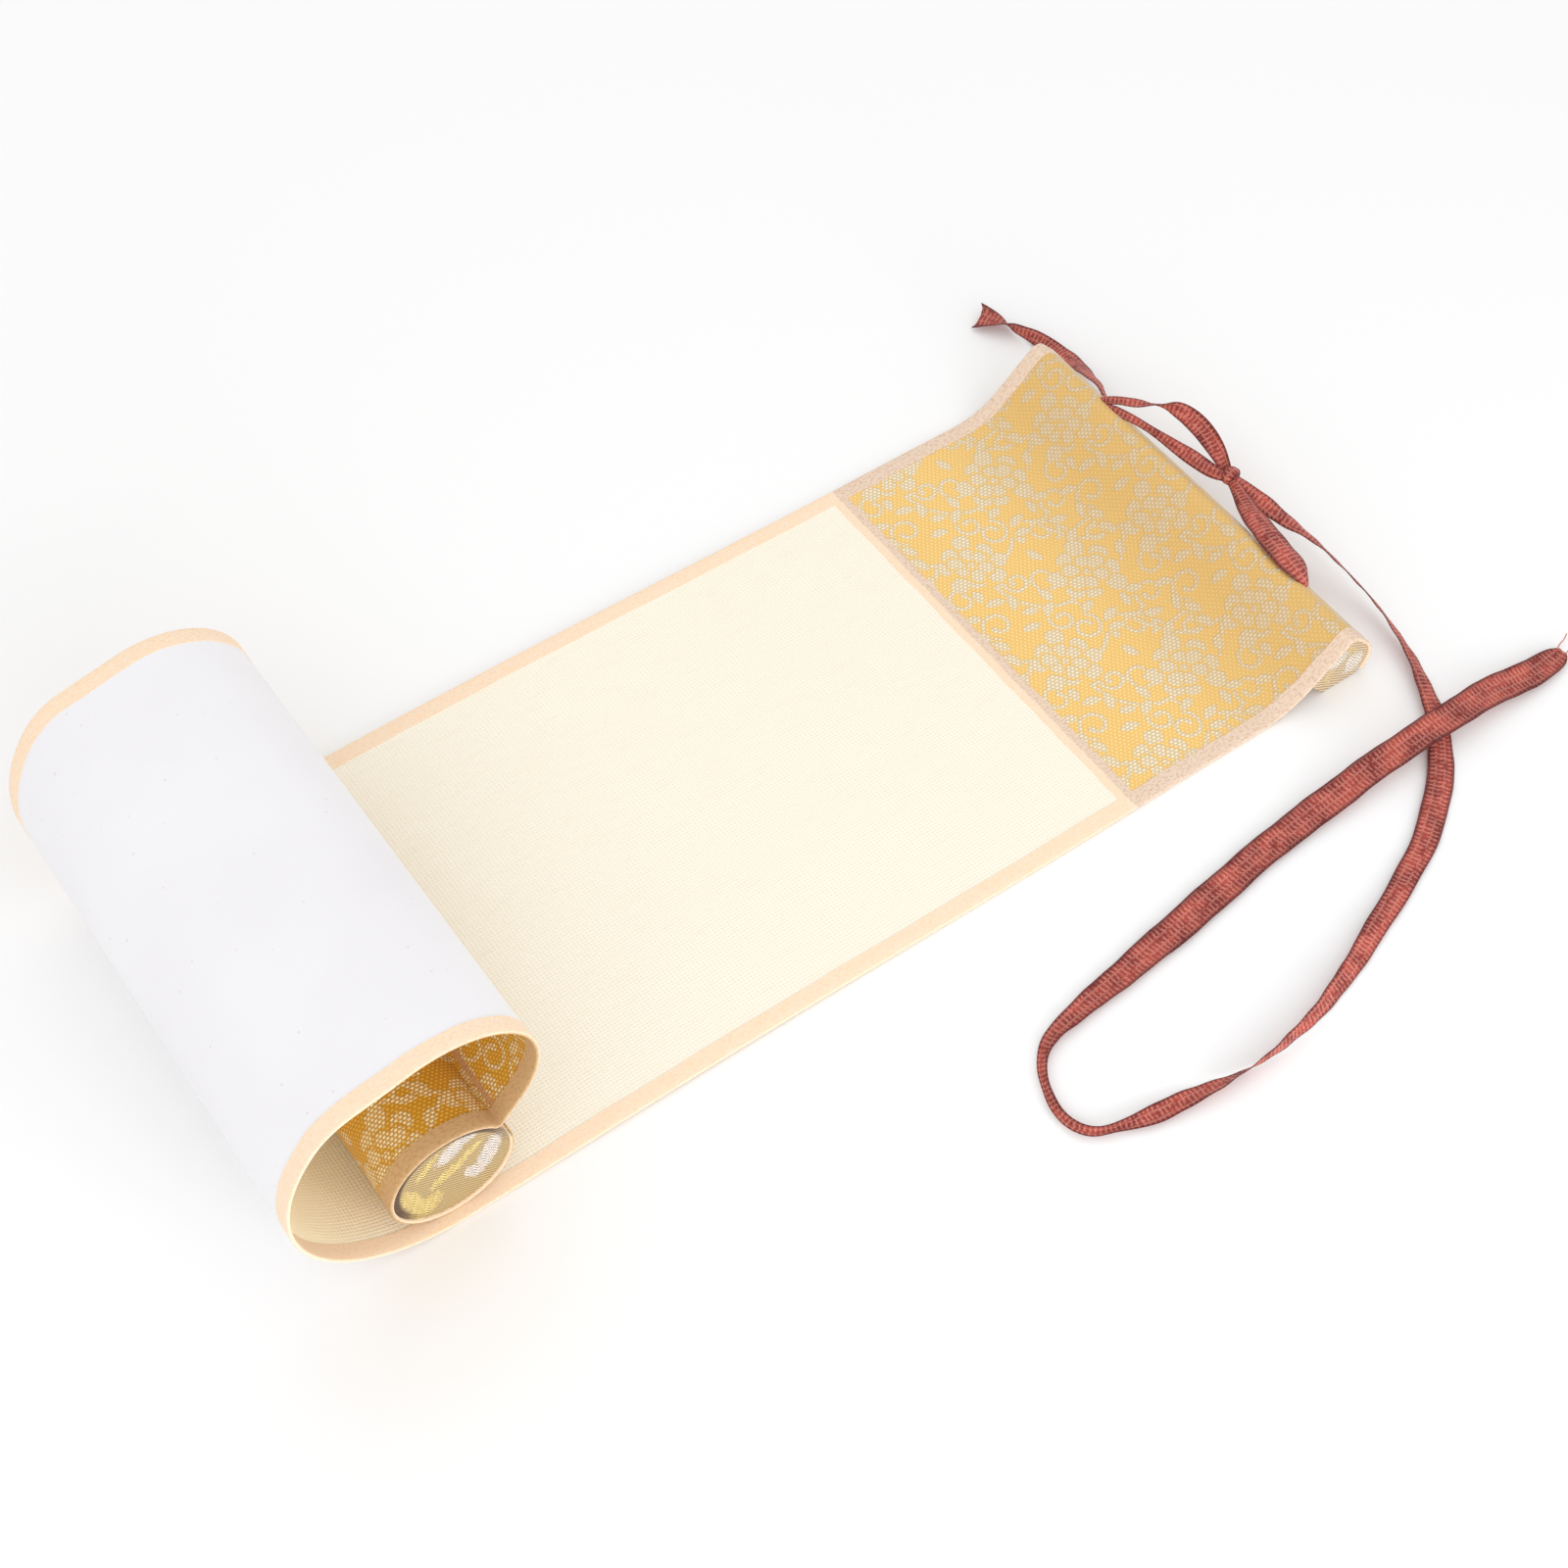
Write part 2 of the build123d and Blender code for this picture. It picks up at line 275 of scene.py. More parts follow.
tieTail = {
    "length": 406.7, "width": 7.0, "leaves": (141.87, -4.7, 12.45),
    "rows": [
        (137.2, -3.4, 12.6, 2.6, -20, 0.6), (137.5, -8.7, 12.4, 3.6, -22, 0.7),
        (138.4, -14.2, 11.8, 4.6, -18, 0.6), (140.2, -19.2, 10.4, 4.0, 0, 0.4),
        (143.4, -26.8, 8.0, 3.6, 42, 0.2), (144.9, -37.2, 5.2, 3.4, 53, 0.2),
        (144.9, -48.2, 3.4, 3.4, 53, 0.2), (142.3, -60.4, 2.2, 3.8, 36, 0.2),
        (137.6, -71.5, 1.4, 4.6, 14, 0.3), (133.8, -78.0, 1.0, 5.2, 6, 0.3),
        (127.8, -85.2, 0.8, 6.0, 4, 0.3), (119.5, -92.1, 0.8, 6.0, 4, 0.3),
        (110.2, -98.1, 0.8, 5.6, 2, 0.3), (100.2, -102.6, 1.0, 5.2, 4, 0.3),
        (85.9, -108.2, 1.4, 4.8, 14, 0.2), (69.9, -114.4, 1.9, 4.2, 40, 0.2),
        (57.9, -117.2, 2.1, 3.6, 62, 0.2), (46.0, -118.4, 1.9, 3.4, 92, 0.2),
        (34.6, -116.8, 1.4, 4.0, 150, 0.3), (21.5, -114.8, 1.1, 4.8, 184, 0.3),
        (13.0, -112.9, 1.2, 1.6, 190, 0.5), (7.4, -110.6, 1.5, 2.3, 204, 0.3),
        (5.0, -103.7, 1.6, 2.1, 214, 0.2), (8.2, -94.6, 1.4, 1.9, 208, 0.2),
        (14.6, -89.3, 1.2, 3.2, 194, 0.3), (23.3, -88.0, 1.0, 4.8, 186, 0.3),
        (40.8, -85.9, 0.9, 6.4, 182, 0.3), (58.7, -83.6, 0.9, 7.4, 180, 0.3),
        (80.7, -80.2, 0.9, 6.8, 180, 0.3), (95.6, -79.3, 1.5, 7.4, 180, 0.3),
        (113.5, -78.5, 3.4, 7.0, 180, 0.4), (128.0, -78.7, 4.6, 7.0, 180, 0.5),
        (140.0, -78.6, 4.5, 7.2, 180, 0.5), (152.3, -78.2, 2.6, 7.6, 178, 0.5),
        (163.1, -79.6, 1.3, 7.2, 178, 0.4), (172.0, -78.3, 1.0, 5.0, 178, 0.3),
    ],
    "loose": [                                 # threads come away at the cut end
        [(170.4, -77.6, 1.0), (172.4, -76.6, 1.5), (174.2, -76.4, 1.3), (176.4, -75.2, 0.8)],
        [(170.8, -79.4, 0.9), (172.6, -79.2, 1.1), (173.6, -78.6, 0.6)],
    ],
}
shortTail = {
    "length": 52.0, "width": 7.0, "leaves": (132.83, 34.8, 5.27),
    "rows": [
        (133.2, 34.8, 6.0, 3.6, -60, 0.4), (134.5, 38.6, 8.3, 4.4, -50, 0.5),
        (135.1, 44.4, 7.2, 5.0, -28, 0.5), (136.8, 51.5, 4.4, 5.2, -5, 0.4),
        (137.0, 58.2, 2.6, 5.2, 14, 0.3), (136.6, 64.4, 2.0, 3.8, 36, 0.2),
        (134.8, 69.2, 1.9, 2.8, 76, 0.1), (132.8, 73.6, 2.2, 4.8, 150, 0.2),
        (130.6, 77.6, 2.0, 6.8, 192, 0.2), (129.2, 80.0, 1.8, 7.4, 200, 0.2),
    ],
}


def routeCurve(name, controls, steps=12):
    curve = bpy.data.curves.new(name, "CURVE")
    curve.dimensions = "3D"
    curve.resolution_u = steps
    spline = curve.splines.new("NURBS")
    spline.points.add(len(controls) - 1)
    for point, place in zip(spline.points, controls):
        point.co = (*place, 1.0)
    spline.order_u = 3
    spline.use_endpoint_u = True
    return curve


def splineLine(name, controls, steps):
    curve = routeCurve(name, controls, steps)
    route = bpy.data.objects.new(name, curve)
    mesh = bpy.data.meshes.new_from_object(route)
    line = np.array([vertex.co for vertex in mesh.vertices], float)
    bpy.data.meshes.remove(mesh)
    bpy.data.curves.remove(curve)
    return line


def unitRows(vectors):
    return vectors / np.linalg.norm(vectors, axis=1)[:, None]


def addThreads(piece, routes):
    for route in routes:
        curve = routeCurve("looseThread", np.array(route) * mm)
        curve.bevel_depth = ribbonFinish["threadRadius"] * mm
        curve.bevel_resolution = 1
        curve.use_fill_caps = True
        thread = bpy.data.objects.new("looseThread", curve)
        bpy.context.scene.collection.objects.link(thread)
        pickOnly(thread)
        bpy.ops.object.convert(target="MESH")
        thread.select_set(True)
        piece.select_set(True)
        bpy.context.view_layer.objects.active = piece
        bpy.ops.object.join()


def ribbonStrip(name, plan, stoodFor, columns=9, steps=10, notch=0.0, rounded=0.0):
    rows = np.array(plan["rows"], float)
    line = splineLine(name + "Route", rows[:, :3] * mm, steps)
    shape = splineLine(name + "Shape", rows[:, 3:] * (mm, 1, mm), steps)
    ahead = unitRows(np.gradient(line, axis=0))
    side = unitRows(np.cross(ahead, (0, 0, 1)))
    up = np.cross(side, ahead)
    lean = np.radians(shape[:, 1])[:, None]
    broad = side * np.cos(lean) + up * np.sin(lean)
    proud = up * np.cos(lean) - side * np.sin(lean)
    travel = np.concatenate([[0], np.cumsum(np.linalg.norm(np.diff(line, axis=0), axis=1))])
    share = np.linspace(-1, 1, columns)        # from one edge of the ribbon to the other
    width = shape[:, 0] / 2
    if rounded:                                # a cut end with its corners worn off
        left = (travel[-1] - travel) / (rounded * mm)
        width = width * np.sqrt(np.clip(1 - (1 - np.clip(left, 0, 1)) ** 2, 0.12, 1))
    far = travel[:, None] / mm
    ripple = ribbonFinish["ripple"] * mm * np.sin(far * 0.9 + share * 2.0)
    flutter = ribbonFinish["flutter"] * mm * np.sin(far * 0.37 + 1.3 * np.sign(share))
    aside = share * (width[:, None] + flutter)
    rise = shape[:, 2:3] * (0.5 - share ** 2) + ripple * np.abs(share)
    points = line[:, None] + broad[:, None] * aside[..., None] + proud[:, None] * rise[..., None]
    if notch:                                  # a swallow-tail cut
        cut = ahead[-1] * (notch * mm * (np.abs(share)[:, None] - 1.0))
        points[-1] += cut
        points[-2] += cut * 0.5
    points[..., 2] = np.maximum(points[..., 2], ribbonFinish["lowest"] * mm)
    woven = share * np.maximum(width[:, None], 2.0 * mm) / mm      # a pinched part keeps its weave
    uv = np.stack([np.repeat(far, columns, 1), woven], axis=-1)
    piece = newPiece(name, points.reshape(-1, 3), quadFaces(len(line), columns), uv.reshape(-1, 2))
    rim = piece.data.attributes.new("rim", "FLOAT", "POINT")
    rim.data.foreach_set("value", np.tile(np.abs(share), len(line)).astype(np.float32))
    applyModifier(piece, "SOLIDIFY", thickness=ribbonFinish["gauge"] * mm, offset=0.0)
    applyModifier(piece, "SUBSURF", levels=1, render_levels=1)
    addThreads(piece, plan.get("loose", []))
    smoothShade(piece, 60)
    dress(piece, redRibbon, "ribbon", stoodFor)


bowKnot = {
    "centre": (137.3, -3.0, 12.3), "along": (0.1, -1.0, -0.05),
    "radius": 1.45, "tube": 1.05, "broader": 1.35, "under": 0.86,      # flatter underneath
    "weave": (14, 6),                          # millimetres of cloth round it and over it
}


def ribbonKnot(name, plan):
    bpy.ops.object.select_all(action="DESELECT")
    turn = Vector(plan["along"]).to_track_quat("Z", "Y").to_euler()
    bpy.ops.mesh.primitive_torus_add(location=[v * mm for v in plan["centre"]], rotation=turn,
                                     major_segments=28, minor_segments=14,
                                     major_radius=plan["radius"] * mm,
                                     minor_radius=plan["tube"] * mm)
    piece = bpy.context.object
    piece.name = name
    bpy.ops.object.transform_apply(location=True, rotation=True, scale=True)
    middle, axis = Vector(plan["centre"]) * mm, Vector(plan["along"]).normalized()
    for vertex in piece.data.vertices:         # a flat band, drawn tight, with creases in it
        away = vertex.co - middle
        height = away.dot(axis)
        out = away - axis * height
        around = math.atan2(out.z, out.dot(axis.cross(Vector((0, 0, 1))).normalized()))
        crease = 1 + 0.07 * math.sin(5 * around + 2600 * height) + 0.05 * math.sin(9 * around)
        flat = plan["under"] if out.z < 0 else 1.0
        vertex.co = middle + out * crease * flat + axis * height * plan["broader"]
    uvLayer = piece.data.uv_layers.active
    uvLayer.name = "Cloth"
    for corner in uvLayer.data:
        corner.uv = (corner.uv[0] * plan["weave"][0], corner.uv[1] * plan["weave"][1])
    rim = piece.data.attributes.new("rim", "FLOAT", "POINT")
    heights = [abs((vertex.co - middle).dot(axis)) / (1.5 * mm) for vertex in piece.data.vertices]
    rim.data.foreach_set("value", heights)
    applyModifier(piece, "SUBSURF", levels=1, render_levels=1)
    smoothShade(piece, 60)
    dress(piece, redRibbon, "ribbon", "ribbon_knot")


ribbonKnot("bowKnot", bowKnot)
ribbonStrip("bowOuterStrand", outerStrand, "ribbon_outer_strand")
ribbonStrip("bowInnerStrand", innerStrand, "ribbon_inner_strand")
ribbonStrip("bowRightStrand", rightStrand, "ribbon_right_strand")
ribbonStrip("longTail", tieTail, "ribbon_tie_tail", rounded=3.0)
ribbonStrip("shortTail", shortTail, "ribbon_short_tail", notch=3.0)
print("ribbon laid: bow, knot and two tails")


# the sheet's path
# The path is the outer face of the edge tapes, from the end glued under the stave to the end
# glued round the roller. Each run is its length and its turn in degrees, to the left if positive.
# Depth is measured inwards from there: tape, paper, cloth, tape again.
scroll = {
    "width": 110.0, "nearEdge": -56.2,
    "tape": 0.12, "paper": 0.28, "cloth": 0.25, "tapeWidth": 3.9,
    "start": (130.8936, 1.1942), "heading": 55.0,
    "runs": [
        (9.6656, 78), (4.6, 0), (3.1416, 90), (12.2, 0), (14.6703, -43), (202.4, 0),
        (73.9671, -130), (9.9484, -38), (11.88, 0), (52.7839, -142), (6.3, 0),
        (1.9049, -102), (71.9948, 330),
    ],
    "topJoint": 80.43, "bottomJoint": 339.56,
    "drift": 2.4, "driftFrom": 340.0, "driftTo": 401.0,       # sideways, as the roll winds on
    "flatFrom": (58.0, 90.0), "flatTo": (225.0, 262.0),       # where ripples grow and die away
    "wave": 0.35, "waveLength": 21.0,          # how far the flat part ripples off the table
    "wander": 0.22, "wanderLength": 26.0,      # how far its edges wander sideways
}


def layRuns(plan):
    runs, place, heading, begin = [], np.array(plan["start"]), plan["heading"], 0.0
    for length, turn in plan["runs"]:
        runs.append((begin, length, turn, heading, place))
        if turn:
            radius = length / math.radians(abs(turn))
            side = 1 if turn > 0 else -1
            centre = place - direction(heading - 90) * side * radius
            place = centre + direction(heading + turn - 90) * side * radius
        else:
            place = place + direction(heading) * length
        heading += turn
        begin += length
    return runs, begin


def direction(angle):
    angle = np.radians(angle)
    return np.stack([np.cos(angle), np.sin(angle)], axis=-1)


runs, sheetLength = layRuns(scroll)


def ease(value, low, high):
    share = np.clip((value - low) / (high - low), 0, 1)
    return share * share * (3 - 2 * share)


def onSheet(along, across, depth):             # millimetres along, across and into the sheet
    along, across, depth = np.broadcast_arrays(along, across, depth)
    place = np.zeros(along.shape + (2,))
    for begin, length, turn, heading, start in runs:
        here = (along >= begin - 1e-9) & (along <= begin + length + 1e-9)
        share = ((along - begin) / length)[here]
        inward = depth[here][:, None]
        if turn:
            radius = length / math.radians(abs(turn))
            side = 1 if turn > 0 else -1
            centre = start - direction(heading - 90) * side * radius
            out = direction(heading + turn * share - 90)
            place[here] = centre + out * (side * radius + inward)
        else:
            ahead = direction(heading) * (length * share)[:, None]
            place[here] = start + ahead + direction(heading - 90) * inward
    flat = ease(along, *scroll["flatFrom"]) * (1 - ease(along, *scroll["flatTo"]))
    edge = (across / scroll["width"] - 0.5) * 2
    uneven = 0.9 * edge + 0.6 * np.sin(along / 47.0)
    swell = 0.5 + 0.5 * np.sin(along / scroll["waveLength"] + uneven)
    lift = scroll["wave"] * flat * swell * (0.35 + 0.65 * edge ** 2)
    drift = scroll["drift"] * ease(along, scroll["driftFrom"], scroll["driftTo"])
    wander = scroll["wander"] * np.sin(along / scroll["wanderLength"] + 1.0) * flat
    y = across + scroll["nearEdge"] + drift + wander
    return np.stack([place[..., 0], y, place[..., 1] + lift], axis=-1) * mm


def stations(first, last, straightStep, bendStep):
    stops = [first, last]
    for begin, length, turn, *_ in runs:
        low, high = max(first, begin), min(last, begin + length)
        if high - low < 1e-6:
            continue
        step = straightStep
        if turn:
            step = min(bendStep, length / abs(turn) * 5)
        stops.extend(np.linspace(low, high, max(2, math.ceil((high - low) / step) + 1)))
    return np.unique(np.round(stops, 5))


paperFace = scroll["tape"]
clothTop = scroll["tape"] + scroll["paper"] + scroll["cloth"]
stripTop = clothTop + scroll["tape"]
cutNear, cutFar = scroll["tape"], scroll["width"] - scroll["tape"]
cutWidth = cutFar - cutNear


def layPanel(name, first, last, depth, gauge, steps, outward=False, motifField=None):
    along = stations(first, last, steps[0], steps[1])
    across = np.linspace(cutNear, cutFar, max(2, math.ceil(cutWidth / steps[2]) + 1))
    alongGrid, acrossGrid = np.meshgrid(along, across, indexing="ij")
    points = onSheet(alongGrid, acrossGrid, depth).reshape(-1, 3)
    uv = np.stack([alongGrid, acrossGrid], axis=-1).reshape(-1, 2)
    piece = newPiece(name, points, quadFaces(len(along), len(across), outward), uv)
    if motifField:
        layer = piece.data.attributes.new("motif", "FLOAT", "POINT")
        values = motifField(alongGrid.ravel(), acrossGrid.ravel())
        layer.data.foreach_set("value", values.astype(np.float32))
    applyModifier(piece, "SOLIDIFY", thickness=gauge * mm, offset=-1.0)
    smoothShade(piece)
    return piece


# backing paper
paperFinish = {
    "white": tone(244, 243, 244), "cool": tone(234, 232, 236), "fleck": tone(224, 220, 218),
}


def paperMaterial(finish):
    material, tree, shader = newMaterial("whiteBackingPaper", 0.72, 0.25, 0.05)
    uv = clothCoordinates(tree)[0]
    pulp = noise(tree, uv, 0.035, 3.0)
    fibres = noise(tree, uv, 1.4, 3.0, (0.35, 1.0, 1.0))
    flecks = fade(tree, noise(tree, uv, 0.9, 0.0), 0.815, 0.86)
    colour = mixTone(tree, pulp, finish["white"], finish["cool"])
    colour = mixTone(tree, flecks, colour, finish["fleck"])
    finishShader(tree, shader, colour, calc(tree, "ADD", fibres, pulp), 0.03)
    return material


plainSteps = (3.0, 1.2, 4.0)                   # mesh steps along flats, along bends and across
backing = layPanel("backingPaper", 0, sheetLength, paperFace, scroll["paper"], plainSteps,
                   outward=True)
dress(backing, paperMaterial(paperFinish), "backing_paper", "backing_paper")

# picture field
pictureFinish = {
    "silk": tone(248, 240, 220), "slub": tone(252, 246, 231),
    "shade": tone(236, 220, 182), "dotShare": 0.42, "slubShare": 0.1,
    "pitch": 0.75,
    "paintedBounceLight": tone(255, 240, 200), "paintedBounceLightShare": 0.8,     # painted warm bounce light, deeper inside the roll
    "paintedBounceLightFrom": 250.0, "paintedBounceLightTo": 300.0,
    "through": tone(255, 250, 205), "glow": 0.17,      # painted glow for light that comes through the thin sheet
}


def pictureMaterial(finish):
    material, tree, shader = newMaterial("creamPictureSilk", 0.62, 0.25, 0.12)
    uv, along, across = clothCoordinates(tree)
    warp = wave(tree, across, finish["pitch"])
    weft = wave(tree, along, finish["pitch"] * 1.15)
    blotches = noise(tree, uv, 0.07, 3.0)
    slubs = noise(tree, uv, 0.8, 2.0, (0.12, 1.0, 1.0))
    crossings = times(tree, warp, weft)
    dots = times(tree, fade(tree, crossings, 0.55, 0.9), fade(tree, blotches, 0.35, 0.6))
    colour = mixTone(tree, blotches, finish["silk"], finish["slub"])
    colour = mixTone(tree, times(tree, dots, finish["dotShare"]), colour, finish["shade"])
    slubs = times(tree, fade(tree, slubs, 0.5, 0.75), finish["slubShare"])
    colour = mixTone(tree, slubs, colour, finish["shade"])
    # inside the roll: painted warm bounce light in the colour, and a painted glow
    rolled = fade(tree, along, finish["paintedBounceLightFrom"], finish["paintedBounceLightTo"])
    colour = mixTone(tree, times(tree, rolled, finish["paintedBounceLightShare"]), colour, finish["paintedBounceLight"])
    # painted glow: emission inside the roll stands in for light through the sheet
    glow = times(tree, rolled, finish["glow"])
    shader.inputs["Emission Color"].default_value = finish["through"]
    tree.links.new(glow, shader.inputs["Emission Strength"])
    finishShader(tree, shader, colour, crossings, 0.08)
    return material


picture = layPanel("pictureField", scroll["topJoint"], scroll["bottomJoint"], clothTop,
                   scroll["cloth"], plainSteps)
dress(picture, pictureMaterial(pictureFinish), "picture_cloth", "picture_field")
print("backing paper and picture silk laid")

# brocade
# The weave's pattern is one repeat of peonies, leaves and curling stems. It is worked out as the
# distance in millimetres from a motif's edge, positive inside, and repeats with a half drop.
repeatAlong, repeatAcross, cell = 42.0, 34.0, 0.25
stemHalf, curlHalf, tendrilHalf, curlTip = 0.54, 0.5, 0.46, 0.8
flowerClear, leafClear, petalGap = 7.6, 8.6, 0.5
motifShift = (6.0, 3.0)                        # along and across, where the cloth was cut
flowers = [(11.0, 9.0, 20, 1.14), (31.5, 25.5, 200, 1.06)]      # along, across, turn, scale
petalRings = [(8, 5.3, 2.3, 2.35, 0), (6, 2.9, 1.75, 1.75, 25)]  # count, reach, long, broad, turn
stems = [
    [(11, 9), (16, 4.5), (22, 4), (28, 8), (31.5, 15), (31.5, 25.5)],
    [(31.5, 25.5), (37, 30), (43, 31.5), (49, 35), (53, 43)],
    [(11, 9), (7.5, 15), (6, 21), (9, 27), (15, 30)],
    [(31.5, 25.5), (26.5, 22.5), (22, 23), (18.5, 26.5)],
    [(11, 9), (5, 6), (0.5, 7.5), (-3, 12)],
]
curls = [  # middle along and across, first radius, first angle, turn in degrees
    (20.4, 13.0, 4.0, 200, 400), (26.2, 15.6, 3.1, 20, -380), (1.8, 17.0, 3.8, 60, 400),
    (11.4, 24.4, 4.1, 250, -400), (21.4, 30.4, 3.8, 120, 400), (39.6, 18.2, 3.8, 170, -390),
    (37.6, 8.0, 4.1, 300, 400), (24.4, 1.2, 3.4, 90, -380), (3.4, 29.8, 3.7, 330, 390),
]
leaves = [  # along, across, angle, half length, half width
    (19.6, 6.2, 40, 2.7, 0.95), (25.2, 5.4, -35, 2.5, 0.9), (30.6, 11.4, 110, 2.7, 0.95),
    (34.0, 13.6, 15, 2.7, 0.9), (30.0, 17.6, 150, 2.5, 0.9), (6.6, 19.4, 150, 2.5, 0.9),
    (6.2, 25.0, 200, 2.6, 0.95), (14.6, 30.4, -20, 2.7, 0.95), (17.8, 19.6, 250, 2.5, 0.9),
    (17.0, 25.8, 100, 2.4, 0.9), (38.0, 27.4, -50, 2.6, 0.95), (41.0, 32.4, 70, 2.6, 0.95),
    (31.6, 3.4, 10, 2.5, 0.9), (0.6, 9.4, -60, 2.4, 0.9), (8.8, 31.6, 100, 2.4, 0.9),
    (29.4, 33.2, 60, 2.4, 0.9), (24.6, 20.4, 20, 2.4, 0.95), (23.0, 9.0, 80, 2.4, 0.95),
    (0.4, 23.4, 110, 2.5, 0.95), (41.4, 12.6, 20, 2.4, 0.9), (35.4, 32.0, 130, 2.4, 0.95),
    (15.4, 26.8, 10, 2.3, 0.9), (40.6, 3.0, 60, 2.4, 0.9), (5.2, 33.0, 20, 2.3, 0.9),
    (36.0, 17.2, 100, 2.3, 0.9), (17.2, 1.0, 160, 2.4, 0.9), (29.0, 7.2, 20, 2.2, 0.85),
]


def wrapped(value, period):
    return (value + period / 2) % period - period / 2


def nearestWay(along, across):                 # the shortest way there, over the repeats
    turns = np.round(along / repeatAlong)
    drop = wrapped(across - turns * repeatAcross / 2, repeatAcross)
    return along - turns * repeatAlong, drop


def motifRepeat():
    a, c = np.meshgrid(np.arange(0, repeatAlong, cell), np.arange(0, repeatAcross, cell),
                       indexing="ij")

    def apart(x, y):
        return nearestWay(a - x, c - y)

    def petal(x, y, angle, long, broad):
        da, dc = apart(x, y)
        turn = math.radians(angle)
        u = (da * math.cos(turn) + dc * math.sin(turn)) / long
        v = (dc * math.cos(turn) - da * math.sin(turn)) / broad
        v = v / (0.82 + 0.3 * np.clip(u, -1, 1))                # broader towards its tip
        return (1 - np.hypot(u, v)) * min(long, broad)

    def line(points, thickness):
        points = np.array(points, float)
        reach = np.full(a.shape, 99.0)
        for x, y in points:
            da, dc = apart(x, y)
            reach = np.minimum(reach, np.hypot(da, dc))
        return thickness - reach

    field = np.full(a.shape, -9.0)
    stemPoints = np.zeros((0, 2))
    for controls in stems:
        curve = splineLine("stem", [(x, y, 0) for x, y in controls], 24)[:, :2]
        field = np.maximum(field, line(curve, stemHalf))
        stemPoints = np.concatenate([stemPoints, curve])
    for x, y, radius, angle, turn in curls:
        share = np.linspace(0, 1, 90)
        sweep = np.radians(angle + turn * share)
        size = radius * (1 - 0.64 * share)
        curve = np.stack([x + size * np.cos(sweep), y + size * np.sin(sweep)], axis=-1)
        field = np.maximum(field, line(curve, curlHalf))
        gap = stemPoints - curve[0]            # a tendril to the nearest stem
        gap = np.stack(nearestWay(gap[:, 0], gap[:, 1]), axis=-1)
        reach = gap[np.argmin(np.hypot(gap[:, 0], gap[:, 1]))]
        bow = np.sin(np.pi * share)[:, None] * np.array([-reach[1], reach[0]]) * 0.22
        tendril = curve[0] + share[:, None] * reach + bow
        field = np.maximum(field, line(tendril, tendrilHalf))
        field = np.maximum(field, curlTip - np.hypot(*apart(*curve[-1])))
    for x, y, angle, long, broad in leaves:
        rooms = [math.hypot(*nearestWay(x - fx, y - fy)) - leafClear * scale
                 for fx, fy, _, scale in flowers]
        if min(rooms) < 0:                     # no room beside a flower
            continue
        da, dc = apart(x, y)
        turn = math.radians(angle)
        u = da * math.cos(turn) + dc * math.sin(turn)
        v = dc * math.cos(turn) - da * math.sin(turn)
        v = v + 0.12 * u * u / long
        blade = np.minimum(1.3 * broad * (1 - (u / long) ** 2) - np.abs(v), long - np.abs(u))
        field = np.maximum(np.minimum(field, -blade - petalGap), blade)
    for x, y, turn, scale in flowers:
        clear = flowerClear * scale - np.hypot(*apart(x, y))
        bloom = np.full(a.shape, -9.0)
        for count, reach, long, broad, shift in petalRings:
            ring = np.full(a.shape, -9.0)
            for n in range(count):
                angle = turn + shift + 360 * n / count + 6 * math.sin(3.7 * n + x)
                uneven = 1 + 0.13 * math.sin(2.3 * n + y)
                px = x + scale * uneven * reach * math.cos(math.radians(angle))
                py = y + scale * uneven * reach * math.sin(math.radians(angle))
                one = petal(px, py, angle, long * scale * uneven, broad * scale)
                ring = np.maximum(np.minimum(ring, -one - petalGap), one)
            bloom = np.maximum(np.minimum(bloom, -ring - 0.55), ring)
        heart = 0.85 * scale - np.hypot(*apart(x, y))
        bloom = np.maximum(np.minimum(bloom, -heart - 0.6), heart)
        field = np.maximum(np.where(clear > 0, np.minimum(field, -0.3), field), bloom)
    return field


motif = motifRepeat()


def motifAt(along, across):                    # read between the cells, on from a first shift
    along = along + motifShift[0]
    drop = np.floor(along / repeatAlong) % 2 * repeatAcross / 2
    x = (along % repeatAlong) / cell
    y = ((across + drop + motifShift[1]) % repeatAcross) / cell
    rows, columns = motif.shape
    x0, y0 = np.floor(x).astype(int), np.floor(y).astype(int)
    fx, fy = x - x0, y - y0
    x1, y1 = (x0 + 1) % rows, (y0 + 1) % columns
    x0, y0 = x0 % rows, y0 % columns
    return (motif[x0, y0] * (1 - fx) * (1 - fy) + motif[x1, y0] * fx * (1 - fy)
            + motif[x0, y1] * (1 - fx) * fy + motif[x1, y1] * fx * fy)


topFinish = {
    "ground": tone(255, 226, 152), "groundDark": tone(240, 194, 110),
    "float": tone(250, 240, 214), "gap": tone(218, 190, 142),
    "pitch": 0.78, "tiePitch": 1.15,
    "shade": tone(190, 150, 92), "shadeShare": 0.42,  # painted shade, darker down the stave's side
    "shadeFrom": 24.0, "shadeTo": 62.0,
}
# deeper, more saturated tones than the top panel: painted shade and bounce light of the roll
bottomPaintedShadeFinish = {
    "ground": tone(250, 200, 88), "groundDark": tone(204, 148, 36),
    "float": tone(255, 242, 202), "gap": tone(202, 150, 64),
    "pitch": 0.72, "tiePitch": 1.0,
    "crease": 400.4, "creaseTone": tone(206, 158, 116),       # a darker tan line along the crease where it meets the roller
}


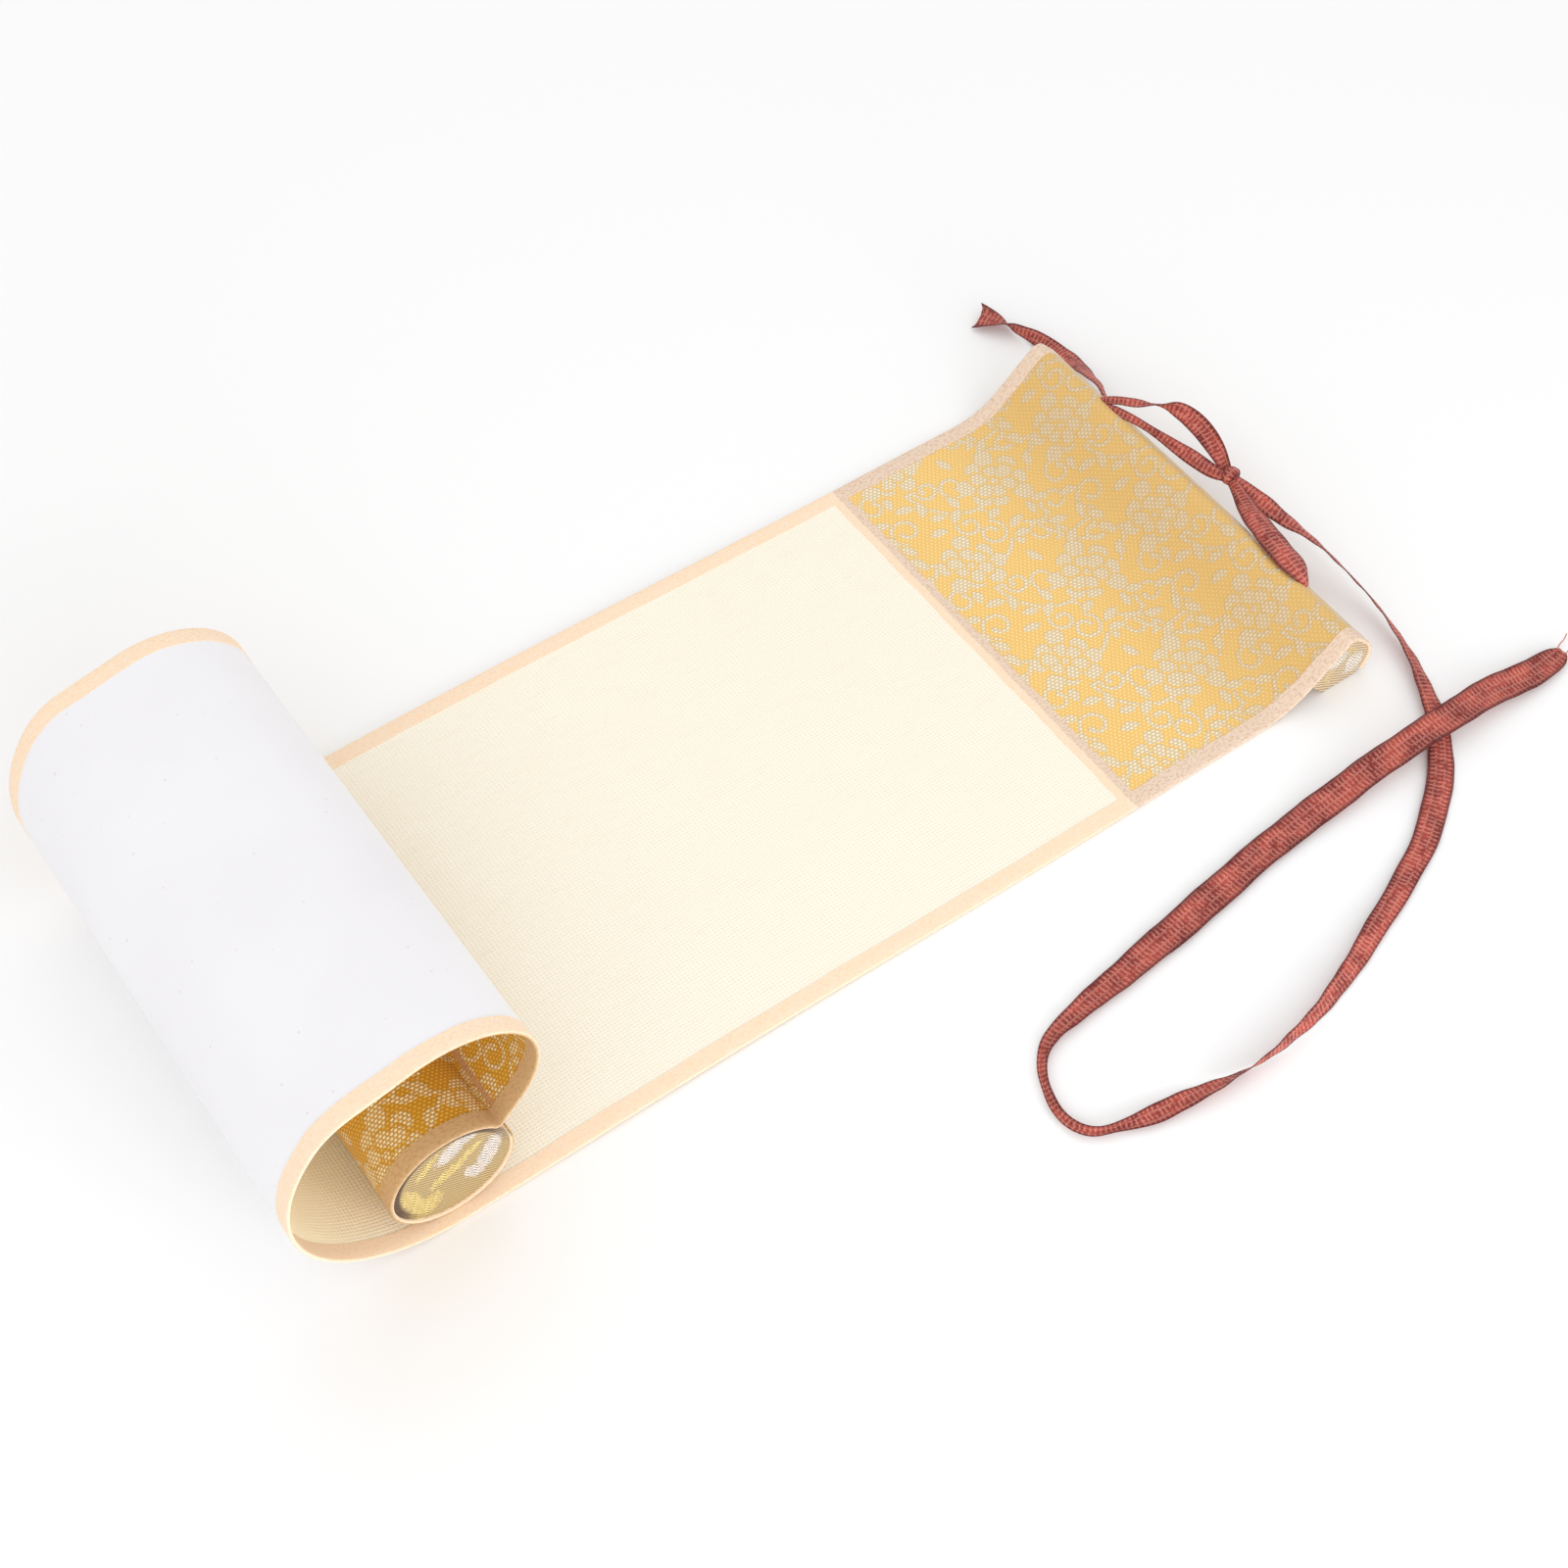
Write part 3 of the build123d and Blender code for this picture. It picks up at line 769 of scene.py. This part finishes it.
def brocadeMaterial(name, finish):
    material, tree, shader = newMaterial(name, 0.45, 0.35, 0.1)
    uv, along, across = clothCoordinates(tree)
    field = addNode(tree, "ShaderNodeAttribute", attribute_name="motif").outputs["Fac"]
    fray = calc(tree, "MULTIPLY_ADD", noise(tree, uv, 2.4, 1.0), 0.5, -0.25)
    inside = fade(tree, calc(tree, "ADD", field, fray), -0.06, 0.08)
    row = calc(tree, "FLOOR", calc(tree, "DIVIDE", across, finish["pitch"]))
    threads = wave(tree, across, finish["pitch"], -math.pi / 2)
    ties = wave(tree, along, finish["tiePitch"], times(tree, row, math.pi))
    bricks = times(tree, threads, ties)        # dashes, each row moved on half a dash
    floats = fade(tree, bricks, 0.06, 0.3)
    dots = fade(tree, bricks, 0.25, 0.65)
    clouds = noise(tree, uv, 0.16, 2.0)
    ground = mixTone(tree, dots, finish["groundDark"], finish["ground"])
    ground = mixTone(tree, times(tree, clouds, 0.3), ground, finish["groundDark"])
    raised = mixTone(tree, floats, finish["gap"], finish["float"])
    colour = mixTone(tree, inside, ground, raised)
    if "shade" in finish:
        shaded = restOf(tree, fade(tree, along, finish["shadeFrom"], finish["shadeTo"]))
        colour = mixTone(tree, times(tree, shaded, finish["shadeShare"]), colour, finish["shade"])
    if "crease" in finish:
        nearCrease = calc(tree, "ABSOLUTE", calc(tree, "SUBTRACT", along, finish["crease"]))
        creaseBand = restOf(tree, fade(tree, calc(tree, "ADD", nearCrease, fray), 0.45, 0.8))
        colour = mixTone(tree, creaseBand, colour, finish["creaseTone"])
    proud = times(tree, inside, calc(tree, "MULTIPLY_ADD", bricks, 0.8, 0.5))
    height = calc(tree, "ADD", proud, times(tree, dots, 0.4))
    rough = calc(tree, "MULTIPLY_ADD", inside, -0.08, 0.46)
    finishShader(tree, shader, colour, height, 0.12, rough)
    return material


def brocadePanel(name, first, last, step, finish, stoodFor):
    piece = layPanel(name, first, last, clothTop, scroll["cloth"], (step, step, step),
                     motifField=motifAt)
    dress(piece, brocadeMaterial(name + "Weave", finish), "gold_brocade", stoodFor)


brocadePanel("topBrocade", 0, scroll["topJoint"], 0.45, topFinish, "top_brocade_panel")
brocadePanel("bottomBrocade", scroll["bottomJoint"], sheetLength, 0.6, bottomPaintedShadeFinish,
             "bottom_brocade_panel")
print("brocade panels laid, pattern repeat", motif.shape)

# edge tapes and joint strips
tapeFinish = {
    "overPaper": tone(250, 229, 206), "overSilk": tone(254, 221, 184),
    "overBrocade": tone(234, 210, 188), "fibre": tone(200, 160, 128),
    # painted shade: browner tones for the tape past the bottom joint, round and inside the roll
    "rolled": tone(212, 176, 130), "rolledFibre": tone(184, 142, 98),
}


def tapeMaterial(name, finish, face):
    material, tree, shader = newMaterial(name, 0.6, 0.3, 0.05)
    uv, along, across = clothCoordinates(tree)
    fibres = noise(tree, uv, 2.2, 3.0, (0.5, 1.0, 1.0))
    mottle = noise(tree, uv, 0.5, 2.0)
    top, bottom = scroll["topJoint"], scroll["bottomJoint"]
    before = restOf(tree, fade(tree, along, top - 0.2, top + 0.2))
    after = fade(tree, along, bottom - 0.2, bottom + 0.2)
    onBrocade = calc(tree, "ADD", before, after)
    if face == "edge":                         # the outer leg lies over the paper all the way
        onBrocade = times(tree, onBrocade, fade(tree, across, -0.3, 0.1))
    silkTone = mixTone(tree, mottle, finish["overSilk"], finish["overPaper"])
    # past the bottom joint the tape takes its painted shade tones
    brocadeTone = mixTone(tree, after, finish["overBrocade"], finish["rolled"])
    colour = mixTone(tree, onBrocade, silkTone, brocadeTone)
    strength = calc(tree, "MULTIPLY_ADD", onBrocade, 0.42, 0.16)
    grain = times(tree, fade(tree, fibres, 0.44, 0.68), strength)
    fibreTone = mixTone(tree, after, finish["fibre"], finish["rolledFibre"])
    colour = mixTone(tree, grain, colour, fibreTone)
    finishShader(tree, shader, colour, fibres, 0.05)
    return material


tapeShape = {
    "wall": 0.09, "edgeWobble": 0.09,
    "turnDown": 0.11, "turnAlong": 0.03, "sunk": 0.01,        # the long edges of a joint strip
}


def finishTape(piece, material, stoodFor):
    applyModifier(piece, "SOLIDIFY", thickness=tapeShape["wall"] * mm, offset=-1.0)
    smoothShade(piece, 50)
    return dress(piece, material, "edge_tape", stoodFor)


def profileStrip(name, first, last, profile, wobble):
    along = stations(first, last, 2.0, 1.0)
    across, depth, place, moves = np.array(profile, float).T
    size = (len(along), len(profile))
    uneven = (np.sin(along * 0.21 + 0.4) + 0.6 * np.sin(along * 0.57))[:, None]
    alongGrid = np.broadcast_to(along[:, None], size)
    acrossGrid = across + wobble * moves * uneven
    points = onSheet(alongGrid, acrossGrid, np.broadcast_to(depth, size)).reshape(-1, 3)
    uv = np.stack([alongGrid, np.broadcast_to(place, size)], axis=-1).reshape(-1, 2)
    return newPiece(name, points, quadFaces(*size), uv)


# Each point of a tape's profile is its place across the sheet and into it, its place across the
# flat tape, and 1 where it wanders. It goes from the outer leg's edge round to the picture face.
def edgeTape(name, far, stoodFor):
    edge = scroll["tapeWidth"]
    lap = [
        (edge, 0.10, -4.2, 1), (edge - 0.05, 0.0, -4.1, 1), (edge / 2, 0.0, -2.2, 0),
        (0.35, 0.0, -0.6, 0), (0.10, 0.06, -0.35, 0), (0.0, 0.2, -0.2, 0), (0.0, 0.385, 0.0, 0),
        (0.0, 0.57, 0.2, 0), (0.10, 0.71, 0.35, 0), (0.35, stripTop, 0.6, 0),
        (edge / 2, stripTop, 2.2, 0), (edge - 0.05, stripTop, 4.1, 1),
        (edge, stripTop - 0.1, 4.2, 1),
    ]
    if far:
        lap = [(scroll["width"] - across, depth, place, -moves)
               for across, depth, place, moves in reversed(lap)]
    piece = profileStrip(name, 0, sheetLength, lap, tapeShape["edgeWobble"])
    return finishTape(piece, tapeSilk, stoodFor)


def jointStrip(name, middle, stoodFor):
    edge, half = scroll["tapeWidth"], scroll["tapeWidth"] / 2
    across = np.linspace(edge - 0.3, scroll["width"] - edge + 0.3, 40)
    low, high, turn = middle - half, middle + half, tapeShape["turnAlong"]
    along = np.array([low - turn, low, middle - half / 2, middle, middle + half / 2, high,
                      high + turn])
    depth = np.full(len(along), stripTop)
    depth[[0, -1]] -= tapeShape["turnDown"]
    depth -= tapeShape["sunk"]
    alongGrid, acrossGrid = np.meshgrid(along, across, indexing="ij")
    wobble = 0.08 * np.sin(acrossGrid * 0.33) + 0.05 * np.sin(acrossGrid * 0.9)
    depthGrid = np.broadcast_to(depth[:, None], alongGrid.shape)
    points = onSheet(alongGrid + wobble, acrossGrid, depthGrid).reshape(-1, 3)
    uv = np.stack([alongGrid, acrossGrid], axis=-1).reshape(-1, 2)
    return finishTape(newPiece(name, points, quadFaces(*alongGrid.shape), uv), stripSilk, stoodFor)


tapeSilk = tapeMaterial("edgeTapeSilk", tapeFinish, "edge")
stripSilk = tapeMaterial("jointStripSilk", tapeFinish, "joint")
hems = [edgeTape("nearEdgeTape", False, "near_edge_tape"),
        edgeTape("farEdgeTape", True, "far_edge_tape")]
strips = [jointStrip("topJointStrip", scroll["topJoint"], "top_joint_strip"),
          jointStrip("bottomJointStrip", scroll["bottomJoint"], "bottom_joint_strip")]
print("edge tapes and joint strips laid")

# stave and roller
# Each patch of the end cloth is its middle, its half sizes and its turn in degrees.
rollerEnd = {
    "centre": (-100.1476, 14.04), "radius": 12.5,
    "cloth": tone(212, 186, 132), "clothDark": tone(140, 108, 60),
    "silver": tone(246, 240, 240), "yellow": tone(250, 222, 134), "gap": tone(84, 56, 28),
    "silverPatches": [(0.6, 7.8, 3.4, 1.9, 40), (4.6, 9.4, 3.0, 1.2, 20),
                      (8.0, -0.2, 2.0, 5.0, -24), (4.4, -3.8, 1.5, 2.4, 30)],
    "yellowPatches": [(-6.6, -6.8, 4.0, 2.4, 40), (-8.6, -1.6, 1.5, 3.8, 15),
                      (-0.6, 0.8, 4.2, 1.3, 26), (4.4, 4.2, 2.8, 0.9, 30),
                      (-4.6, 6.8, 3.4, 0.8, 48)],
}
staveEnd = {
    "centre": (124.6, 6.4),
    "cloth": tone(238, 214, 178), "clothDark": tone(150, 118, 78),
    "silver": tone(252, 246, 238), "yellow": tone(236, 206, 140),
    "silverPatches": [(-2.0, 3.0, 2.6, 1.8, 30), (3.6, -1.4, 2.4, 3.0, 10)],
    "yellowPatches": [(1.4, 3.8, 1.2, 3.0, 40), (-3.6, -1.6, 1.4, 2.2, -20)],
}


def patches(tree, x, z, shapes):
    found = None
    for middleX, middleZ, long, broad, angle in shapes:
        turn = math.radians(angle)
        dx = calc(tree, "SUBTRACT", x, middleX)
        dz = calc(tree, "SUBTRACT", z, middleZ)
        u = calc(tree, "ADD", times(tree, dx, math.cos(turn) / long),
                 times(tree, dz, math.sin(turn) / long))
        v = calc(tree, "SUBTRACT", times(tree, dz, math.cos(turn) / broad),
                 times(tree, dx, math.sin(turn) / broad))
        away = calc(tree, "SQRT", calc(tree, "MULTIPLY_ADD", u, u, times(tree, v, v)))
        inside = restOf(tree, away)
        found = inside if found is None else calc(tree, "MAXIMUM", found, inside)
    return found


def endCoverMaterial(name, finish):
    material, tree, shader = newMaterial(name, 0.45, 0.35, 0.1)
    place = addNode(tree, "ShaderNodeTexCoord").outputs["Object"]
    centre = finish["centre"]
    local = addNode(tree, "ShaderNodeMapping", {
        "Vector": place, "Location": (-centre[0], 0, -centre[1]),
        "Scale": (1 / mm, 1 / mm, 1 / mm)}).outputs[0]
    apart = addNode(tree, "ShaderNodeSeparateXYZ", {0: local})
    x, z = apart.outputs[0], apart.outputs[2]
    zigzag = times(tree, calc(tree, "PINGPONG", x, 1.1), 1.5)
    chevron = wave(tree, calc(tree, "ADD", z, zigzag), 1.05)
    twill = wave(tree, calc(tree, "MULTIPLY_ADD", x, 0.6, z), 0.85)
    cross = wave(tree, calc(tree, "SUBTRACT", z, x), 0.95)
    fray = calc(tree, "MULTIPLY_ADD", noise(tree, local, 1.3, 2.0), 1.1, -0.55)
    fray = calc(tree, "MULTIPLY_ADD", chevron, 0.7, calc(tree, "SUBTRACT", fray, 0.35))
    silver = calc(tree, "ADD", patches(tree, x, z, finish["silverPatches"]), fray)
    yellow = calc(tree, "ADD", patches(tree, x, z, finish["yellowPatches"]), fray)
    silver, yellow = fade(tree, silver, 0.0, 0.12), fade(tree, yellow, 0.0, 0.12)
    ground = calc(tree, "MULTIPLY_ADD", twill, 0.6, times(tree, cross, 0.4))
    ground = fade(tree, ground, 0.15, 0.75)
    colour = mixTone(tree, ground, finish["clothDark"], finish["cloth"])
    yellow = times(tree, yellow, fade(tree, chevron, 0.2, 0.5))
    silver = times(tree, silver, fade(tree, chevron, 0.15, 0.5))
    colour = mixTone(tree, yellow, colour, finish["yellow"])
    colour = mixTone(tree, silver, colour, finish["silver"])
    if "gap" in finish:                        # shade in the gap at the rim
        away = calc(tree, "SQRT", calc(tree, "MULTIPLY_ADD", x, x, times(tree, z, z)))
        rim = fade(tree, away, finish["radius"] - 1.9, finish["radius"] - 1.1)
        above = fade(tree, calc(tree, "SUBTRACT", z, times(tree, x, 0.6)), -9.0, 4.0)
        colour = mixTone(tree, times(tree, rim, above), colour, finish["gap"])
    raised = times(tree, calc(tree, "ADD", silver, yellow), 1.2)
    height = calc(tree, "ADD", ground, raised)
    finishShader(tree, shader, colour, height, 0.15)
    return material


woodFinish = {
    "early": tone(214, 176, 124), "late": tone(176, 132, 84), "pore": tone(128, 92, 58),
    "ringScale": 900.0, "poreScale": 3000.0,
}


def woodMaterial(name, finish):
    material, tree, shader = newMaterial(name, 0.6)
    place = addNode(tree, "ShaderNodeTexCoord").outputs["Object"]
    rings = noise(tree, place, finish["ringScale"], 4.0, (1.0, 0.04, 1.0))
    pores = noise(tree, place, finish["poreScale"], 2.0, (1.0, 0.1, 1.0))
    colour = mixTone(tree, rings, finish["early"], finish["late"])
    colour = mixTone(tree, fade(tree, pores, 0.6, 0.72), colour, finish["pore"])
    finishShader(tree, shader, colour, rings, 0.05)
    return material


def dressNodes(material, *names):
    for name in names:
        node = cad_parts[name]
        node.data.materials.clear()
        node.data.materials.append(material)


dressNodes(woodMaterial("paleWood", woodFinish), "stave_wood", "roller_wood")
dressNodes(endCoverMaterial("rollerEndBrocade", rollerEnd), "roller_near_cover",
           "roller_far_cover")
dressNodes(endCoverMaterial("staveEndBrocade", staveEnd), "stave_near_cover", "stave_far_cover")
print("stave and roller finished")

# floor and light
studio = {
    "floor": (0.95, 0.95, 0.95, 1.0), "sky": 0.84,
    "lamps": [  # place, aim, size, power
        ((-0.9, -0.5, 1.5), (0, 0, 0), 1.4, 4.0), ((0.7, 0.9, 1.6), (0, 0, 0), 1.6, 3.0),
        ((-0.3, -1.0, 0.3), (0, 0, 0), 0.8, 3.0),
        ((0.06, -0.46, 0.09), (-0.12, -0.06, 0.03), 0.2, 0.5),     # low, into the roll's open end
    ],
}


def setStudio(plan):
    bpy.ops.object.select_all(action="DESELECT")
    bpy.ops.mesh.primitive_plane_add(size=6.0, location=(0, 0, -0.0002))
    floor = bpy.context.object
    floor.name = "studioFloor"
    material, _, shader = newMaterial("paleFloor", 0.9, 0.0)
    shader.inputs["Base Color"].default_value = plan["floor"]
    floor.data.materials.append(material)
    world = bpy.context.scene.world or bpy.data.worlds.new("softRoom")
    bpy.context.scene.world = world
    world.use_nodes = True
    background = world.node_tree.nodes["Background"]
    background.inputs["Color"].default_value = (1, 1, 1, 1)
    background.inputs["Strength"].default_value = plan["sky"]
    for place, aim, size, power in plan["lamps"]:
        turn = (Vector(aim) - Vector(place)).to_track_quat("-Z", "Y").to_euler()
        bpy.ops.object.light_add(type="AREA", location=place, rotation=turn)
        bpy.context.object.data.size = size
        bpy.context.object.data.energy = power


setStudio(studio)
bpy.context.scene.view_settings.view_transform = "Standard"
